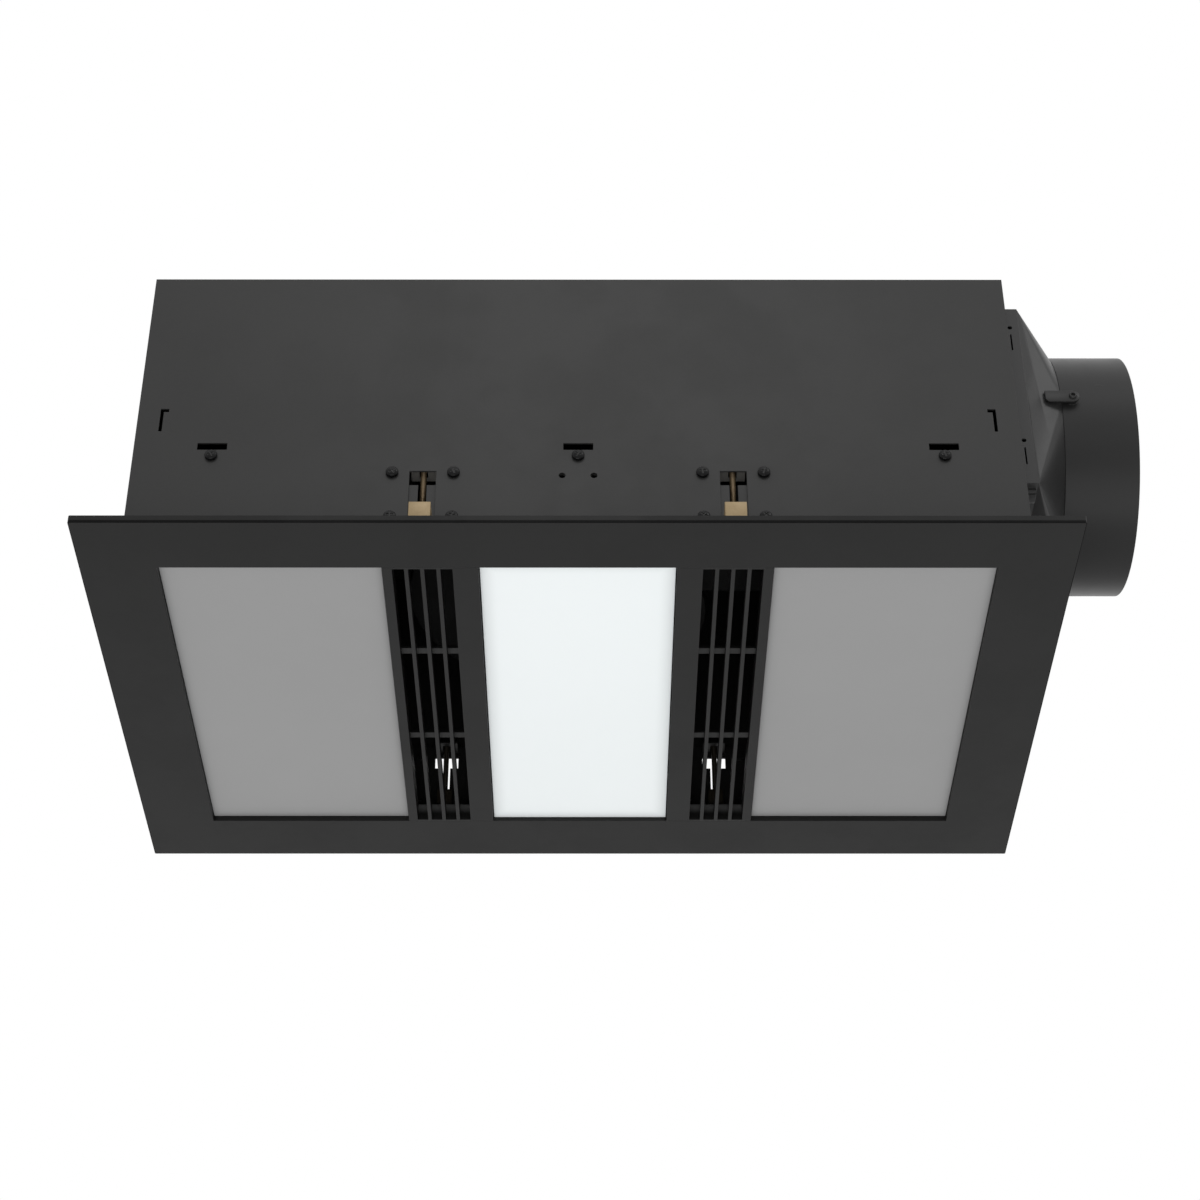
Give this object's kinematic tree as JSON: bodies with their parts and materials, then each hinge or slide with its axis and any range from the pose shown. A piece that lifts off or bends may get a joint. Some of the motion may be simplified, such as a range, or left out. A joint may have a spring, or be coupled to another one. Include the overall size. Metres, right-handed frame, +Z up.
{
  "type": "bathroom ceiling heater",
  "caption": "Recessed ceiling heater with two radiant panels, a light panel, air grilles, a side-ducted extractor fan, ceiling clamps and a drop-down fascia.",
  "frame": {"origin": "middle of the ceiling cut-out, in the plane of the ceiling's lower face, where the fascia's lip meets it", "axes": "+X along the length, towards the duct collar; -Y is the front long side; +Z up into the ceiling"},
  "size_m": [0.626, 0.3634, 0.212],
  "materials": {
    "black_sheet": "satin black powder coat",
    "black_plastic": "fine moulded texture",
    "dark_duct": "satin moulded",
    "galvanised": "zinc-coated sheet",
    "mirror_sheet": "polished reflector sheet",
    "bronze": "yellow passivated",
    "spring_steel": "bright",
    "frosted_glass": "frosted grey",
    "quartz": "clear quartz",
    "ceramic": "unglazed",
    "silicone": "matte",
    "opal": "opal, satin",
    "white_sheet": "white enamel",
    "board": "white solder mask",
    "white_plastic": "moulded"
  },
  "bodies": {
    "housing": {"housing_shell": "black_sheet", "heater_glass_left": "frosted_glass", "heater_glass_right": "frosted_glass", "glass_seal_left": "silicone", "glass_seal_right": "silicone", "reflector_left": "mirror_sheet", "reflector_right": "mirror_sheet", "lamp_left": "quartz", "lamp_right": "quartz", "lamp_holder_front_left": "ceramic", "lamp_holder_back_left": "ceramic", "lamp_holder_front_right": "ceramic", "lamp_holder_back_right": "ceramic", "thermal_cutout_left": "black_plastic", "thermal_cutout_right": "black_plastic", "heater_strap_left": "galvanised", "heater_strap_right": "galvanised", "light_strap": "galvanised", "light_diffuser": "opal", "light_tray": "white_sheet", "led_board": "board", "light_driver": "white_plastic", "clamp_bracket_front_left": "black_sheet", "clamp_bracket_front_right": "black_sheet", "clamp_bracket_back_left": "black_sheet", "clamp_bracket_back_right": "black_sheet", "fan_scroll": "black_plastic", "scroll_lid": "black_plastic", "inlet_ring": "black_plastic", "fan_motor": "galvanised", "duct_plate": "black_sheet", "duct_hood": "dark_duct", "duct_collar": "dark_duct", "terminal_box": "galvanised", "terminal_cover": "galvanised", "terminal_block": "white_plastic", "cable_gland": "black_plastic", "run_capacitor": "white_plastic"},
    "fascia": {"fascia_frame": "black_plastic", "fascia_rim": "black_plastic", "grille_left": "black_plastic", "grille_right": "black_plastic", "clip_left_front": "spring_steel", "clip_left_back": "spring_steel", "clip_right_front": "spring_steel", "clip_right_back": "spring_steel"},
    "fan_wheel": {"impeller": "black_plastic", "motor_shaft": "spring_steel"},
    "damper": {"damper_flap": "galvanised", "damper_spindle": "spring_steel"},
    "screw_front_left": {"clamp_screw_front_left": "bronze"},
    "screw_front_right": {"clamp_screw_front_right": "bronze"},
    "screw_back_left": {"clamp_screw_back_left": "bronze"},
    "screw_back_right": {"clamp_screw_back_right": "bronze"},
    "jaw_front_left": {"clamp_jaw_front_left": "bronze"},
    "jaw_front_right": {"clamp_jaw_front_right": "bronze"},
    "jaw_back_left": {"clamp_jaw_back_left": "bronze"},
    "jaw_back_right": {"clamp_jaw_back_right": "bronze"}
  },
  "joints": [
    {"name": "fascia_drop", "type": "slide", "parent": "housing", "child": "fascia", "axis": [0, 0, -1], "range_m": [0, 0.06]},
    {"name": "fan_spin", "type": "hinge", "parent": "housing", "child": "fan_wheel", "pos_m": [0, 0.007, 0.12], "axis": [0, 0, 1], "continuous": true},
    {"name": "damper_swing", "type": "hinge", "parent": "housing", "child": "damper", "pos_m": [0.3178, -0.0605, 0.134], "axis": [0, -1, 0], "range_deg": [0, 80]},
    {"name": "screw_front_left_turn", "type": "hinge", "parent": "housing", "child": "screw_front_left", "pos_m": [-0.0908, -0.14725, 0.005], "axis": [0, 0, -1], "range_deg": [-1120, 14450]},
    {"name": "screw_front_right_turn", "type": "hinge", "parent": "housing", "child": "screw_front_right", "pos_m": [0.0908, -0.14725, 0.005], "axis": [0, 0, -1], "range_deg": [-1120, 14450]},
    {"name": "screw_back_left_turn", "type": "hinge", "parent": "housing", "child": "screw_back_left", "pos_m": [-0.0908, 0.14725, 0.005], "axis": [0, 0, -1], "range_deg": [-1120, 14450]},
    {"name": "screw_back_right_turn", "type": "hinge", "parent": "housing", "child": "screw_back_right", "pos_m": [0.0908, 0.14725, 0.005], "axis": [0, 0, -1], "range_deg": [-1120, 14450]},
    {"name": "jaw_front_left_slide", "type": "slide", "parent": "housing", "child": "jaw_front_left", "axis": [0, 0, 1], "range_m": [-0.0021, 0.028]},
    {"name": "jaw_front_right_slide", "type": "slide", "parent": "housing", "child": "jaw_front_right", "axis": [0, 0, 1], "range_m": [-0.0021, 0.028]},
    {"name": "jaw_back_left_slide", "type": "slide", "parent": "housing", "child": "jaw_back_left", "axis": [0, 0, 1], "range_m": [-0.0021, 0.028]},
    {"name": "jaw_back_right_slide", "type": "slide", "parent": "housing", "child": "jaw_back_right", "axis": [0, 0, 1], "range_m": [-0.0021, 0.028]}
  ],
  "couplings": [
    {"joint": "screw_front_left_turn", "follows": "jaw_front_left_slide", "rad_per_m": 8976},
    {"joint": "screw_front_right_turn", "follows": "jaw_front_right_slide", "rad_per_m": 8976},
    {"joint": "screw_back_left_turn", "follows": "jaw_back_left_slide", "rad_per_m": 8976},
    {"joint": "screw_back_right_turn", "follows": "jaw_back_right_slide", "rad_per_m": 8976}
  ]
}
